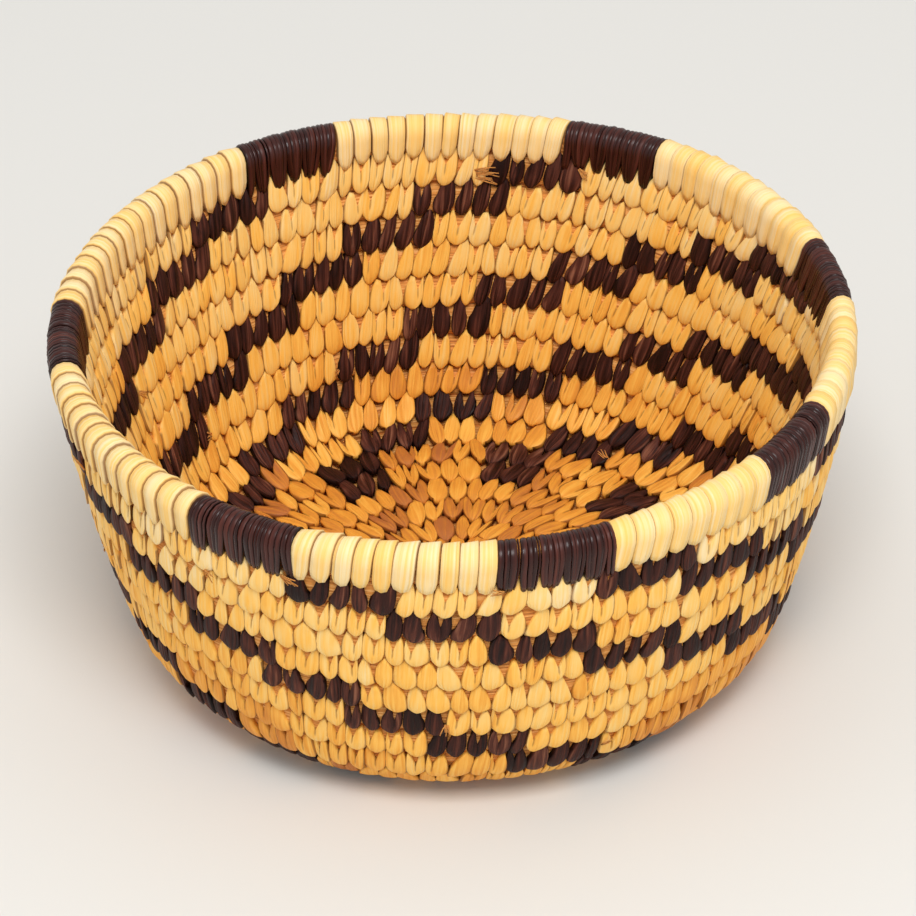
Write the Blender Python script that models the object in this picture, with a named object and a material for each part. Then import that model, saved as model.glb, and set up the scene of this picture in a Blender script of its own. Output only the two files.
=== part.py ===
"""A deep coiled bowl basket, built as its maker builds it.

One long bundle of grass, the foundation, winds out from a knot in the middle of the base, up the
corner and the wall, and ends in a taper on the rim. Pale and dark stitching sleeves it. Each run
of stitching on a row is tied to the row below by its stitches, so the dark runs make seven arms
that step round the bowl, with a pale field between each two.

Lengths are in metres, +Z is up, and the basket stands on z = 0 with its axis on Z.
"""
import math

import bmesh
import bpy
from mathutils import Matrix, Vector, kdtree

MM = 0.001

# The bowl's shape, over everything
RIM_DIAMETER = 180 * MM
HEIGHT = 82 * MM
CORNER_RADIUS = 19 * MM  # of the coil's middle, where the wall turns into the base
WALL_LEAN_TOP_DEG = 8.4  # outwards from upright, at the rim
WALL_LEAN_BOTTOM_DEG = 16.0

# The coil
ROW_PITCH = 7.8 * MM
ROW_GAP = 1.1 * MM  # groove between two rows of stitching
RIM_EXTRA = 3.3 * MM  # how much taller the rim's row is than the others
COIL_WIDTH = 7.5 * MM  # through the wall, stitching included
FOUNDATION_SIZE = 4.2 * MM  # the grass bundle, across its flats
SLEEVE_CLEARANCE = 0.3 * MM  # between the bundle and the stitching round it
CLIMB_DEG = 52.5  # each row lies level, but climbs to the next one over this turn
TIP_SHARE = 0.2  # of the coil's full thickness, where its taper ends on the rim
BUNDLE_TIP_SHARE = 0.5  # of the full thickness, where the bundle inside the taper is cut

# The stitching
ARM_STARTS_DEG = (2, 54.5, 108, 174, 231, 275.5, 318)  # dark blocks on the rim, from +X
ARM_STEPS_DEG = (13.5, 12.8, 13.2, 12.9, 14.3, 13.7, 13.8)  # how far each arm moves round with a row down
DARK_WIDTH_DEG = 16.2
STEPPED_ROWS = 11  # rows below the rim on which the arms still step
LAST_ARM_ROW = 12  # the arms end on this row
RUN_GAP = 0.3 * MM  # between two runs of stitching on a row
TIE_WIDTH = 1.6 * MM
TIE_BITE = 0.45 * MM  # how deep a tie reaches into each of its two rows
KNOT_GAP = 0.3 * MM

# How far a straight facet of the coil may lie inside the round, and how far towards the next row
FACET_DEPTH = 1.2 * MM
FACET_DEPTH_ALONG = 0.6 * MM

FOOT_CUT_SHARE = 0.1  # of the coil's width, cut off the base rows to stand on
FOOT_CUT = COIL_WIDTH * FOOT_CUT_SHARE
CUT_OVERRUN = 5 * MM
ROW_HEIGHT = ROW_PITCH - ROW_GAP
RIM_ROW_HEIGHT = ROW_HEIGHT + RIM_EXTRA
RIM_PITCH = ROW_PITCH + RIM_EXTRA

FLAT_SHARE = 0.36  # of the coil's width, half of the flat where two rows face each other
SLEEVE_SHARES = (
    (0.5, 0), (FLAT_SHARE, 0.5), (-FLAT_SHARE, 0.5), (-0.5, 0), (-FLAT_SHARE, -0.5), (FLAT_SHARE, -0.5)
)
BUNDLE_SHARES = ((0.5, 0.5), (-0.5, 0.5), (-0.5, -0.5), (0.5, -0.5))

TURN = 2 * math.pi
ANGLE_TOLERANCE = 1e-7
CLIMB = math.radians(CLIMB_DEG)
DARK_WIDTH = math.radians(DARK_WIDTH_DEG)
ARM_STARTS = [math.radians(start) for start in ARM_STARTS_DEG]
ARM_STEPS = [math.radians(step) for step in ARM_STEPS_DEG]
TIP_AZIMUTH = ARM_STARTS[-1] + DARK_WIDTH - TURN
TIP_START = TIP_SHARE * CLIMB
BUNDLE_START = BUNDLE_TIP_SHARE * CLIMB

UP = Vector((0, 0, 1))

# The meridian: the line that the coil's middle follows, from the rim down to the axis
LEAN_TOP = math.radians(WALL_LEAN_TOP_DEG)
LEAN_BOTTOM = math.radians(WALL_LEAN_BOTTOM_DEG)
RIM_RADIUS = RIM_DIAMETER / 2 - COIL_WIDTH / 2 * math.cos(LEAN_TOP)
RIM_HEIGHT = HEIGHT - RIM_ROW_HEIGHT / 2 * math.cos(LEAN_TOP) - FLAT_SHARE * COIL_WIDTH * math.sin(LEAN_TOP)
BASE_HEIGHT = COIL_WIDTH / 2 - FOOT_CUT
CORNER_RISE = CORNER_RADIUS * (1 - math.sin(LEAN_BOTTOM))
WALL_RISE = RIM_HEIGHT - BASE_HEIGHT - CORNER_RISE
WALL_LENGTH = WALL_RISE * (LEAN_BOTTOM - LEAN_TOP) / (math.sin(LEAN_BOTTOM) - math.sin(LEAN_TOP))
WALL_BEND = (LEAN_BOTTOM - LEAN_TOP) / WALL_LENGTH
WALL_FOOT_RADIUS = RIM_RADIUS - (math.cos(LEAN_TOP) - math.cos(LEAN_BOTTOM)) / WALL_BEND
CORNER_LENGTH = CORNER_RADIUS * (math.pi / 2 - LEAN_BOTTOM)
BASE_RADIUS = WALL_FOOT_RADIUS - CORNER_RADIUS * math.cos(LEAN_BOTTOM)
TURNS = int((WALL_LENGTH + CORNER_LENGTH + BASE_RADIUS - RIM_EXTRA / 2) / ROW_PITCH)
COIL_END = TURNS * TURN


def meridian(distance):
    """Radius, height, lean from upright and bend of the meridian, at a distance below the rim."""
    if distance < 0:
        radius = RIM_RADIUS - distance * math.sin(LEAN_TOP)
        return radius, RIM_HEIGHT - distance * math.cos(LEAN_TOP), LEAN_TOP, 0
    if distance < WALL_LENGTH:
        lean = LEAN_TOP + WALL_BEND * distance
        radius = RIM_RADIUS - (math.cos(LEAN_TOP) - math.cos(lean)) / WALL_BEND
        return radius, RIM_HEIGHT - (math.sin(lean) - math.sin(LEAN_TOP)) / WALL_BEND, lean, WALL_BEND
    distance -= WALL_LENGTH
    if distance < CORNER_LENGTH:
        lean = LEAN_BOTTOM + distance / CORNER_RADIUS
        radius = WALL_FOOT_RADIUS - CORNER_RADIUS * (math.cos(LEAN_BOTTOM) - math.cos(lean))
        return radius, BASE_HEIGHT + CORNER_RADIUS * (1 - math.sin(lean)), lean, 1 / CORNER_RADIUS
    return BASE_RADIUS - (distance - CORNER_LENGTH), BASE_HEIGHT, math.pi / 2, 0


def rows_below_rim(angle):
    """How many rows below the rim the coil lies, at an angle along it from its tip."""
    turns, rest = divmod(angle, TURN)
    if turns == 0:
        return 0
    return turns - 1 + min(rest / CLIMB, 1)


def thickness(angle):
    """Share of the coil's full thickness: it grows from the tip over the first climb."""
    return min(angle / CLIMB, 1)


def extra_height(angle):
    """How much taller the coil is than an ordinary row: on the rim, and less and less on its climb."""
    if angle < TURN:
        return RIM_EXTRA * thickness(angle)
    return RIM_EXTRA * (1 - min(rows_below_rim(angle), 1))


def row_height(angle):
    return ROW_HEIGHT * thickness(angle) + extra_height(angle)


def place(angle):
    """The coil's middle at an angle along it: radius, height, lean and bend."""
    if angle < CLIMB:
        return meridian((thickness(angle) - 1) * RIM_PITCH / 2)
    rows = rows_below_rim(angle)
    return meridian(rows * ROW_PITCH + min(rows, 1) * RIM_EXTRA / 2)


def arm_edge(number, across, turn):
    """The angle along the coil of a line down an arm, on one turn, found by halving.

    Its azimuth there is where the line starts on the rim, and a step for each row below."""
    target = ARM_STARTS[number - 1] + across + turn * TURN - TIP_AZIMUTH
    step = ARM_STEPS[number - 1]
    low, high = 0.0, COIL_END
    while high - low > ANGLE_TOLERANCE:
        middle = (low + high) / 2
        if middle - step * min(rows_below_rim(middle), STEPPED_ROWS) < target:
            low = middle
        else:
            high = middle
    return (low + high) / 2


def frame_at(angle):
    """The coil's middle, and the directions out through the wall, down along it, and onwards."""
    radius, height, lean, _ = place(angle)
    azimuth = TIP_AZIMUTH + angle
    out = Vector((math.cos(azimuth), math.sin(azimuth), 0))
    through = out * math.cos(lean) - UP * math.sin(lean)
    down = out * -math.sin(lean) - UP * math.cos(lean)
    return out * radius + UP * height, through, down, through.cross(down)


def section(angle, shares, width, height):
    """An outline across the coil. Round the corner it is a wedge, so the rows keep their groove."""
    middle, through, down, _ = frame_at(angle)
    bend = place(angle)[3]
    points = []
    for across, along in shares:
        wedge = 1 + across * width * bend
        points.append(middle + through * (across * width) + down * (along * height * wedge))
    return points


def sleeve_section(angle):
    return section(angle, SLEEVE_SHARES, COIL_WIDTH * thickness(angle), row_height(angle))


def bundle_size(angle):
    """In the taper the bundle thins out faster than the coil, because the leaf round it doesn't."""
    return FOUNDATION_SIZE - ROW_HEIGHT * (1 - thickness(angle))


def bundle_section(angle):
    size = bundle_size(angle)
    return section(angle, BUNDLE_SHARES, size, size + extra_height(angle))


def bore_section(angle):
    size = bundle_size(angle) + 2 * SLEEVE_CLEARANCE
    return section(angle, BUNDLE_SHARES, size, size + extra_height(angle))


def add_ring(bm, points):
    """A closed ring of edges, which the bridges below skin over."""
    verts = [bm.verts.new(point) for point in points]
    edges = [bm.edges.new((a, b)) for a, b in zip(verts, verts[1:] + verts[:1])]
    return verts, edges


def add_tube(bm, sections):
    """Bridges a row of sections, and gives back the first and the last ring."""
    rings = [add_ring(bm, points) for points in sections]
    for (_, edges), (_, next_edges) in zip(rings, rings[1:]):
        bmesh.ops.bridge_loops(bm, edges=edges + next_edges)
    return rings[0], rings[-1]


def fill_end(bm, outer, bore):
    """Closes the flat ring between a sleeve's outline and its bore."""
    bmesh.ops.triangle_fill(bm, use_beauty=True, use_dissolve=False, edges=outer[1] + bore[1])


def add_rod(bm, sections):
    """A solid tube."""
    for verts, _ in add_tube(bm, sections):
        bm.faces.new(verts)


def add_sleeve(bm, angles, blind=False):
    """A run of stitching: a tube with a bore for the bundle, blind where it closes on the tip."""
    outer_start, outer_end = add_tube(bm, [sleeve_section(angle) for angle in angles])
    bored = angles[1:] if blind else angles
    bore_start, bore_end = add_tube(bm, [bore_section(angle) for angle in bored])
    fill_end(bm, outer_end, bore_end)
    if blind:
        bm.faces.new(outer_start[0])
        bm.faces.new(bore_start[0])
    else:
        fill_end(bm, outer_start, bore_start)


def stations(start, end):
    """Angles from start to end, so close that no facet cuts too far inside the round."""
    angles = [start]
    while angles[-1] < end:
        radius, _, lean, _ = place(angles[-1])
        depth = min(FACET_DEPTH, FACET_DEPTH_ALONG / math.sin(lean))
        angles.append(angles[-1] + 2 * math.acos(1 - depth / radius))
    share = (end - start) / (angles[-1] - start)
    return [start + (angle - start) * share for angle in angles[:-1]] + [end]


def inset(angles):
    """The same run, drawn in at both ends by half the gap to the next run."""
    start, end = angles[0], angles[-1]
    half_gap = RUN_GAP / 2
    return [start + half_gap / place(start)[0], *angles[1:-1], end - half_gap / place(end)[0]]


def lay_out_runs():
    """The stitching as it follows the coil, by node: a pale run and a dark one, for each arm on each turn."""
    runs = {}
    turn, end = 0, 0.0
    while True:
        for number in range(1, len(ARM_STARTS) + 1):
            start_dark = arm_edge(number, 0, turn)
            if rows_below_rim(start_dark) > LAST_ARM_ROW:
                return runs
            end_dark = arm_edge(number, DARK_WIDTH, turn)
            pale = stations(end, start_dark) if end else [TIP_START, BUNDLE_START, start_dark]
            names = ("light_rim", "dark_rim") if turn == 0 else ("light_field", "dark_arm")
            runs.setdefault(f"{names[0]}_{number}", []).append(pale)
            runs.setdefault(f"{names[1]}_{number}", []).append(stations(start_dark, end_dark))
            end = end_dark
        turn += 1


def point_on_run(angles, angle):
    """The coil's middle on the straight facet of a run that spans an angle."""
    for start, end in zip(angles, angles[1:]):
        if angle <= end:
            break
    share = (angle - start) / (end - start)
    return frame_at(start)[0].lerp(frame_at(end)[0], share)


def add_tie(bm, upper, lower):
    """A three-sided stitch that binds a run to the run of its own colour on the row below."""
    angle = (max(upper[0], lower[0] - TURN) + min(upper[-1], lower[-1] - TURN)) / 2
    top = point_on_run(upper, angle)
    bottom = point_on_run(lower, angle + TURN)
    down = (bottom - top).normalized()
    onwards = frame_at(angle)[3]
    through = down.cross(onwards).normalized()
    top += down * (row_height(angle) / 2 - TIE_BITE)
    bottom -= down * (ROW_HEIGHT / 2 - TIE_BITE)
    turned = Matrix((through, onwards, down)).transposed().to_4x4()
    bmesh.ops.create_cone(bm, segments=3, cap_ends=True, radius1=TIE_WIDTH / 2, radius2=TIE_WIDTH / 2,
                          depth=(bottom - top).length, matrix=Matrix.Translation((top + bottom) / 2) @ turned)


def new_collection(name):
    collection = bpy.data.collections.new(name)
    bpy.context.scene.collection.children.link(collection)
    return collection


def new_material(name, color, roughness):
    material = bpy.data.materials.new(name)
    material.use_nodes = True
    shader = material.node_tree.nodes["Principled BSDF"]
    shader.inputs["Base Color"].default_value = (*color, 1)
    shader.inputs["Roughness"].default_value = roughness
    shader.inputs["Metallic"].default_value = 0
    material.diffuse_color = (*color, 1)
    return material


def finish(name, bm, collection, material=None):
    """Turns a bmesh into an object, with its faces pointing out."""
    bmesh.ops.recalc_face_normals(bm, faces=bm.faces)
    mesh = bpy.data.meshes.new(name)
    bm.to_mesh(mesh)
    bm.free()
    if material:
        mesh.materials.append(material)
    obj = bpy.data.objects.new(name, mesh)
    collection.objects.link(obj)
    return obj


def hide(obj):
    obj.hide_render = True
    obj.display_type = "WIRE"


def add_boolean(obj, operation, other):
    modifier = obj.modifiers.new(operation.lower(), "BOOLEAN")
    modifier.operation = operation
    modifier.object = other
    modifier.solver = "EXACT"


def base_plane_cutter():
    """A slab under z = 0, which cuts the base rows flat."""
    side = RIM_DIAMETER + 2 * CUT_OVERRUN
    bm = bmesh.new()
    bmesh.ops.create_cube(bm, size=1, matrix=Matrix.Diagonal((side, side, CUT_OVERRUN, 1)))
    bmesh.ops.translate(bm, verts=bm.verts, vec=(0, 0, -CUT_OVERRUN / 2))
    cutter = finish("base_plane", bm, CUTTERS)
    hide(cutter)
    return cutter


def reaches_base(obj):
    return min(vertex.co.z for vertex in obj.data.vertices) < 0


def build_stitching(name, runs, material):
    """One colour's runs, from row to row, tied into one piece."""
    bm = bmesh.new()
    for angles in runs:
        add_sleeve(bm, inset(angles), blind=angles[0] == TIP_START)
    piece = finish(name, bm, BASKET, material)
    if len(runs) > 1:
        bm = bmesh.new()
        for upper, lower in zip(runs, runs[1:]):
            add_tie(bm, upper, lower)
        ties = finish(name + "_ties", bm, CUTTERS)
        hide(ties)
        add_boolean(piece, "UNION", ties)
    if reaches_base(piece):
        add_boolean(piece, "DIFFERENCE", BASE_PLANE)
    return piece


def build_foundation(angles):
    """The unbroken bundle, from the cut end in the rim's taper to the knot."""
    bm = bmesh.new()
    add_rod(bm, [bundle_section(angle) for angle in angles])
    return finish("foundation_coil", bm, BASKET, GRASS)


def build_centre(angles):
    """The pale stitching of the inner rows: one sleeve that winds on to the knot."""
    bm = bmesh.new()
    add_sleeve(bm, angles)
    piece = finish("centre_stitches", bm, BASKET, PALE_LEAF)
    add_boolean(piece, "DIFFERENCE", BASE_PLANE)
    return piece


def build_knot(inner_angles):
    """The start: a wrapped button, as wide as the innermost row leaves room for."""
    middles = [frame_at(angle)[0] for angle in inner_angles]
    nearest = min(a.lerp(b, 0.5).xy.length for a, b in zip(middles, middles[1:]))
    radius = nearest - ROW_HEIGHT / 2 - KNOT_GAP
    bm = bmesh.new()
    bmesh.ops.create_uvsphere(bm, u_segments=16, v_segments=8, radius=radius)
    bmesh.ops.scale(bm, verts=bm.verts, vec=(1, 1, COIL_WIDTH / 2 / radius))
    bmesh.ops.translate(bm, verts=bm.verts, vec=(0, 0, BASE_HEIGHT))
    piece = finish("start_knot", bm, BASKET, GRASS)
    add_boolean(piece, "DIFFERENCE", BASE_PLANE)
    return piece


def least_gap(angles, outline, steps=8):
    """The least distance between two turns of a tube, measured on points along its edges."""
    sections = [outline(angle) for angle in angles]
    points = []
    for index, (here, beyond) in enumerate(zip(sections, sections[1:])):
        for start, end in zip(here, beyond):
            for step in range(steps):
                share = step / steps
                turned = angles[index] + (angles[index + 1] - angles[index]) * share
                points.append((start.lerp(end, share), turned))
    tree = kdtree.KDTree(len(points))
    for index, (point, _) in enumerate(points):
        tree.insert(point, index)
    tree.balance()
    least = ROW_PITCH
    for point, turned in points:
        for _, index, distance in tree.find_range(point, least):
            if abs(points[index][1] - turned) > TURN / 2:
                least = min(least, distance)
    return least


for old in list(bpy.data.objects):
    bpy.data.objects.remove(old)

BASKET = new_collection("coiled_basket")
CUTTERS = new_collection("cutters")
GRASS = new_material("grass_bundle", (0.50, 0.22, 0.065), 0.8)
PALE_LEAF = new_material("pale_leaf", (0.80, 0.49, 0.16), 0.55)
DARK_LEAF = new_material("dark_leaf", (0.045, 0.021, 0.018), 0.45)
BASE_PLANE = base_plane_cutter()

runs_by_node = lay_out_runs()
for name, runs in runs_by_node.items():
    build_stitching(name, runs, DARK_LEAF if name.startswith("dark") else PALE_LEAF)

stitched = sorted(run for runs in runs_by_node.values() for run in runs)
patterned_end = stitched[-1][-1]
centre_angles = stations(patterned_end, COIL_END)
sleeve_start = patterned_end + RUN_GAP / 2 / place(patterned_end)[0]
build_centre([sleeve_start, *centre_angles[1:]])

bundle_angles = [BUNDLE_START + SLEEVE_CLEARANCE / RIM_RADIUS]
for run in [*stitched, centre_angles]:
    bundle_angles += [angle for angle in run[1:] if angle > BUNDLE_START]
build_foundation(bundle_angles)
build_knot([angle for angle in centre_angles if angle > COIL_END - TURN + CLIMB])

print(f"{TURNS} turns, {len(BASKET.objects)} pieces, base radius {BASE_RADIUS / MM:.1f} mm")
print(f"least gap of the foundation to itself: {least_gap(bundle_angles, bundle_section) / MM:.2f} mm")
print(f"least gap of the centre stitching to itself: {least_gap(centre_angles, sleeve_section) / MM:.2f} mm")
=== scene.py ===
"""The looks of the coiled bowl basket: its grass bundle, its leaf stitches, and a soft studio.

Every stitch is a strip of leaf of its own. It lies on the coil where the CAD's sleeve for its run
lies, so the coil's rule from the part is repeated here. Lengths are in metres. An angle counts along
the coil, from the coil's end on the rim to the middle of the base, and a row counts down from the rim.
"""
import math
import random

import bmesh
import bpy
from mathutils import Matrix, Vector


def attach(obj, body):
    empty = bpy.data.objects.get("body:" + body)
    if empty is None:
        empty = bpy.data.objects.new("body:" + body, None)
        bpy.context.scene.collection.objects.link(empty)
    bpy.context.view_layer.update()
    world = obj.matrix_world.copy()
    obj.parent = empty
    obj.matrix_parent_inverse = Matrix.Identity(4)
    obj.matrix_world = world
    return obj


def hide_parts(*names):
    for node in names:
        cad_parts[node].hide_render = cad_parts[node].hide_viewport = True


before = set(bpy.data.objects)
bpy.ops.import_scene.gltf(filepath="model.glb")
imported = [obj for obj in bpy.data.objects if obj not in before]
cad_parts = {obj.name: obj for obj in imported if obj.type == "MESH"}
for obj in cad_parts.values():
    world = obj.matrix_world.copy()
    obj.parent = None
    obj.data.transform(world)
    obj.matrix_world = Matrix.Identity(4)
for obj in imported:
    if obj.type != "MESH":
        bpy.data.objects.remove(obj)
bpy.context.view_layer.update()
MM = 0.001
TURN = 2 * math.pi
OUTSIDE, INSIDE = 1, -1  # the two sides of the wall

# The bowl and its coil, as in the part
RIM_DIAMETER = 180 * MM
HEIGHT = 82 * MM
CORNER_RADIUS = 19 * MM
LEAN_TOP = math.radians(8.4)
LEAN_BOTTOM = math.radians(16)
ROW_PITCH = 7.8 * MM
ROW_GAP = 1.1 * MM
RIM_EXTRA = 3.3 * MM
COIL_WIDTH = 7.5 * MM
FLAT_SHARE = 0.36
FOOT_CUT = 0.75 * MM
CLIMB = math.radians(52.5)
ARM_STARTS = [math.radians(start) for start in (2, 54.5, 108, 174, 231, 275.5, 318)]
ARM_STEPS = [math.radians(step) for step in (13.5, 12.8, 13.2, 12.9, 14.3, 13.7, 13.8)]
ARM_NUMBERS = range(1, len(ARM_STARTS) + 1)
DARK_WIDTH = math.radians(16.2)
STEPPED_ROWS = 11
LAST_ARM_ROW = 12
TIP_AZIMUTH = ARM_STARTS[-1] + DARK_WIDTH - TURN
ANGLE_TOLERANCE = 1e-7

RIM_PITCH = ROW_PITCH + RIM_EXTRA
RIM_ROW_HEIGHT = RIM_PITCH - ROW_GAP
RIM_RADIUS = RIM_DIAMETER / 2 - COIL_WIDTH / 2 * math.cos(LEAN_TOP)
RIM_HEIGHT = (HEIGHT - RIM_ROW_HEIGHT / 2 * math.cos(LEAN_TOP)
              - FLAT_SHARE * COIL_WIDTH * math.sin(LEAN_TOP))
BASE_HEIGHT = COIL_WIDTH / 2 - FOOT_CUT
CORNER_RISE = CORNER_RADIUS * (1 - math.sin(LEAN_BOTTOM))
WALL_RISE = RIM_HEIGHT - BASE_HEIGHT - CORNER_RISE
WALL_LENGTH = WALL_RISE * (LEAN_BOTTOM - LEAN_TOP) / (math.sin(LEAN_BOTTOM) - math.sin(LEAN_TOP))
WALL_BEND = (LEAN_BOTTOM - LEAN_TOP) / WALL_LENGTH
WALL_FOOT_RADIUS = RIM_RADIUS - (math.cos(LEAN_TOP) - math.cos(LEAN_BOTTOM)) / WALL_BEND
CORNER_LENGTH = CORNER_RADIUS * (math.pi / 2 - LEAN_BOTTOM)
BASE_RADIUS = WALL_FOOT_RADIUS - CORNER_RADIUS * math.cos(LEAN_BOTTOM)
TURNS = int((WALL_LENGTH + CORNER_LENGTH + BASE_RADIUS - RIM_EXTRA / 2) / ROW_PITCH)
COIL_END = TURNS * TURN
KNOT_END = COIL_END + TURN + 0.6 * CLIMB  # the winding goes on this far, over the knot

# The hand-made rim isn't level: azimuth and half width in degrees, and how far its top dips there
RIM_DIPS = [(86, 44, 1.9 * MM), (268, 50, 0.6 * MM)]

# The strips of leaf
STRAP_WIDTH = 4.4 * MM  # pale strips, and the dark ones on the wall
RIM_DARK_WIDTH = 1.1 * MM  # the dark rim blocks are wrapped in narrow strips
DARK_PER_HOLE = 4  # of which this many are drawn into one hole
STRIP_DEPTH = 1.3 * MM  # a strip's hidden back lies this far below its face, inside the bundle
AXIS_CLEARANCE = 0.5 * MM  # how near the innermost stitches come to the middle of the base
STRIP_LAYERS = ("tone", "warmth", "split")  # what a strip's material reads from its points

# Where the columns and rows of a strip's faces lie: close together at its edges and ends
BEVEL_START = 0.86
STITCH_COLUMNS = (-1, -0.87, -0.7, -0.38, 0, 0.38, 0.7, 0.87, 1)
STITCH_ROWS = (-1, -0.88, -0.66, -0.3, 0.2, 0.7, 1)
STRAP_COLUMNS = (-1, -BEVEL_START, 0, BEVEL_START, 1)
CORD_COLUMNS = (-1, -0.65, 0, 0.65, 1)
STRAP_ROWS = [row / 8 for row in range(-8, 9)]

random.seed(7)


def meridian(distance):
    """Radius, height and lean from upright, at a distance below the rim."""
    if distance < 0:
        radius = RIM_RADIUS - distance * math.sin(LEAN_TOP)
        return radius, RIM_HEIGHT - distance * math.cos(LEAN_TOP), LEAN_TOP
    if distance < WALL_LENGTH:
        lean = LEAN_TOP + WALL_BEND * distance
        radius = RIM_RADIUS - (math.cos(LEAN_TOP) - math.cos(lean)) / WALL_BEND
        return radius, RIM_HEIGHT - (math.sin(lean) - math.sin(LEAN_TOP)) / WALL_BEND, lean
    distance -= WALL_LENGTH
    if distance < CORNER_LENGTH:
        lean = LEAN_BOTTOM + distance / CORNER_RADIUS
        radius = WALL_FOOT_RADIUS - CORNER_RADIUS * (math.cos(LEAN_BOTTOM) - math.cos(lean))
        return radius, BASE_HEIGHT + CORNER_RADIUS * (1 - math.sin(lean)), lean
    return BASE_RADIUS - (distance - CORNER_LENGTH), BASE_HEIGHT, math.pi / 2


def rows_below_rim(angle):
    turns, rest = divmod(angle, TURN)
    if turns == 0:
        return 0
    return turns - 1 + min(rest / CLIMB, 1)


def extra_height(angle):
    """How much taller the coil is than an ordinary row: on the rim, and less and less on its climb."""
    if angle < TURN:
        return RIM_EXTRA * min(angle / CLIMB, 1)
    return RIM_EXTRA * (1 - min(rows_below_rim(angle), 1))


def below_rim(angle):
    """The distance of the coil's middle below the rim's, along the wall."""
    if angle < CLIMB:
        return (angle / CLIMB - 1) * RIM_PITCH / 2
    rows = rows_below_rim(angle)
    return rows * ROW_PITCH + min(rows, 1) * RIM_EXTRA / 2


def arm_edge(number, across, turn):
    """The angle along the coil of a line down an arm, on one turn."""
    target = ARM_STARTS[number - 1] + across + turn * TURN - TIP_AZIMUTH
    step = ARM_STEPS[number - 1]
    low, high = 0.0, COIL_END
    while high - low > ANGLE_TOLERANCE:
        middle = (low + high) / 2
        if middle - step * min(rows_below_rim(middle), STEPPED_ROWS) < target:
            low = middle
        else:
            high = middle
    return (low + high) / 2


def lay_out_runs():
    """The stitching as it follows the coil: (kind, arm number, turn, first angle, last angle)."""
    runs = []
    turn, end = 0, 0.0
    while True:
        for number in ARM_NUMBERS:
            start_dark = arm_edge(number, 0, turn)
            if rows_below_rim(start_dark) > LAST_ARM_ROW:
                return runs
            end_dark = arm_edge(number, DARK_WIDTH, turn)
            runs.append(("pale", number, turn, end, start_dark))
            runs.append(("dark", number, turn, start_dark, end_dark))
            end = end_dark
        turn += 1


def rim_dip(angle):
    dip = 0
    for middle, half_width, depth in RIM_DIPS:
        off = (math.degrees(TIP_AZIMUTH + angle) - middle + 180) % 360 - 180
        dip += depth * math.cos(min(abs(off) / half_width, 1) * math.pi / 2) ** 2
    return dip


def on_wall(angle, distance, height):
    """A point at a distance below the rim, standing out through the wall by height."""
    radius, up, lean = meridian(distance)
    azimuth = TIP_AZIMUTH + angle
    radius = max(radius + height * math.cos(lean), AXIS_CLEARANCE)
    up -= height * math.sin(lean)
    return Vector((radius * math.cos(azimuth), radius * math.sin(azimuth), max(up, 0)))


def radius_at(angle):
    return max(meridian(below_rim(angle))[0], ROW_PITCH / 2)


def between(stops, at):
    """The value at a place between stops of (place, value)."""
    for (low, start), (high, end) in zip(stops, stops[1:]):
        if at <= high:
            share = max((at - low) / (high - low), 0)
            return start + (end - start) * share
    return stops[-1][1]


def share_out(low, high, width, spread):
    """Parts a run into steps of about one width, wider and narrower by chance: (middle, step) each."""
    count = max(round((high - low) / width), 1)
    weights = [random.uniform(1 - spread, 1 + spread) for _ in range(count)]
    steps = [(high - low) * weight / sum(weights) for weight in weights]
    parts = []
    for step in steps:
        parts.append((low + step / 2, step))
        low += step
    return parts


def strip_form(columns, rows):
    """A flat strip two units wide and long, closed underneath, with a UV map that runs along it."""
    across, along = len(columns) - 1, len(rows) - 1
    bm = bmesh.new()
    bmesh.ops.create_grid(bm, x_segments=across, y_segments=along, size=1)
    for vert in bm.verts:
        vert.co.x = columns[round((vert.co.x + 1) / 2 * across)]
        vert.co.y = rows[round((vert.co.y + 1) / 2 * along)]
    raised = bmesh.ops.extrude_face_region(bm, geom=bm.faces[:])["geom"]
    raised = [item for item in raised if isinstance(item, bmesh.types.BMVert)]
    bmesh.ops.translate(bm, verts=raised, vec=(0, 0, 1))
    bmesh.ops.translate(bm, verts=bm.verts, vec=(0, 0, -1))
    bmesh.ops.recalc_face_normals(bm, faces=bm.faces)
    back = [face for face in bm.faces if all(vert.co.z < -0.5 for vert in face.verts)]
    bmesh.ops.dissolve_faces(bm, faces=back)
    uv = bm.loops.layers.uv.new("along_strip")
    for layer in STRIP_LAYERS:
        bm.verts.layers.float.new(layer)
    for face in bm.faces:
        for loop in face.loops:
            loop[uv].uv = ((loop.vert.co.x + 1) / 2, (loop.vert.co.y + 1) / 2)
    mesh = bpy.data.meshes.new("strip_form")
    bm.to_mesh(mesh)
    bm.free()
    return mesh


def new_piece(name, bm, material, nodes=()):
    mesh = bpy.data.meshes.new(name)
    bm.to_mesh(mesh)
    bm.free()
    mesh.shade_smooth()
    mesh.materials.append(material)
    piece = bpy.data.objects.new(name, mesh)
    bpy.context.scene.collection.objects.link(piece)
    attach(piece, "root")
    if nodes:
        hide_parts(*nodes)


def lay_strips(name, form, strips, material, nodes):
    """Lays a copy of the flat strip in place for each stitch, and makes one piece of them."""
    bm = bmesh.new()
    for _ in strips:
        bm.from_mesh(form)
    bm.verts.ensure_lookup_table()
    layers = [bm.verts.layers.float[layer] for layer in STRIP_LAYERS]
    count = len(form.vertices)
    for index, (place, *values) in enumerate(strips):
        for vert in bm.verts[index * count:(index + 1) * count]:
            vert.co = place(*vert.co)
            for layer, value in zip(layers, values):
                vert[layer] = value
    new_piece(name, bm, material, nodes)


# The stitches on the wall.
# How far one stands out from the coil's middle, over the rows it spans. Its lower end lies on the row
# below and then dives into it, so the rows overlap like scales.
STITCH_PROFILE = [
    (-0.9, 2.6 * MM), (-0.72, 3.0 * MM), (-0.5, 3.2 * MM), (-0.3, 3.4 * MM), (0, 3.7 * MM),
    (0.25, 3.8 * MM), (0.4, 3.62 * MM), (0.5, 3.3 * MM), (0.6, 2.8 * MM), (0.85, 2.0 * MM)]
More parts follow.
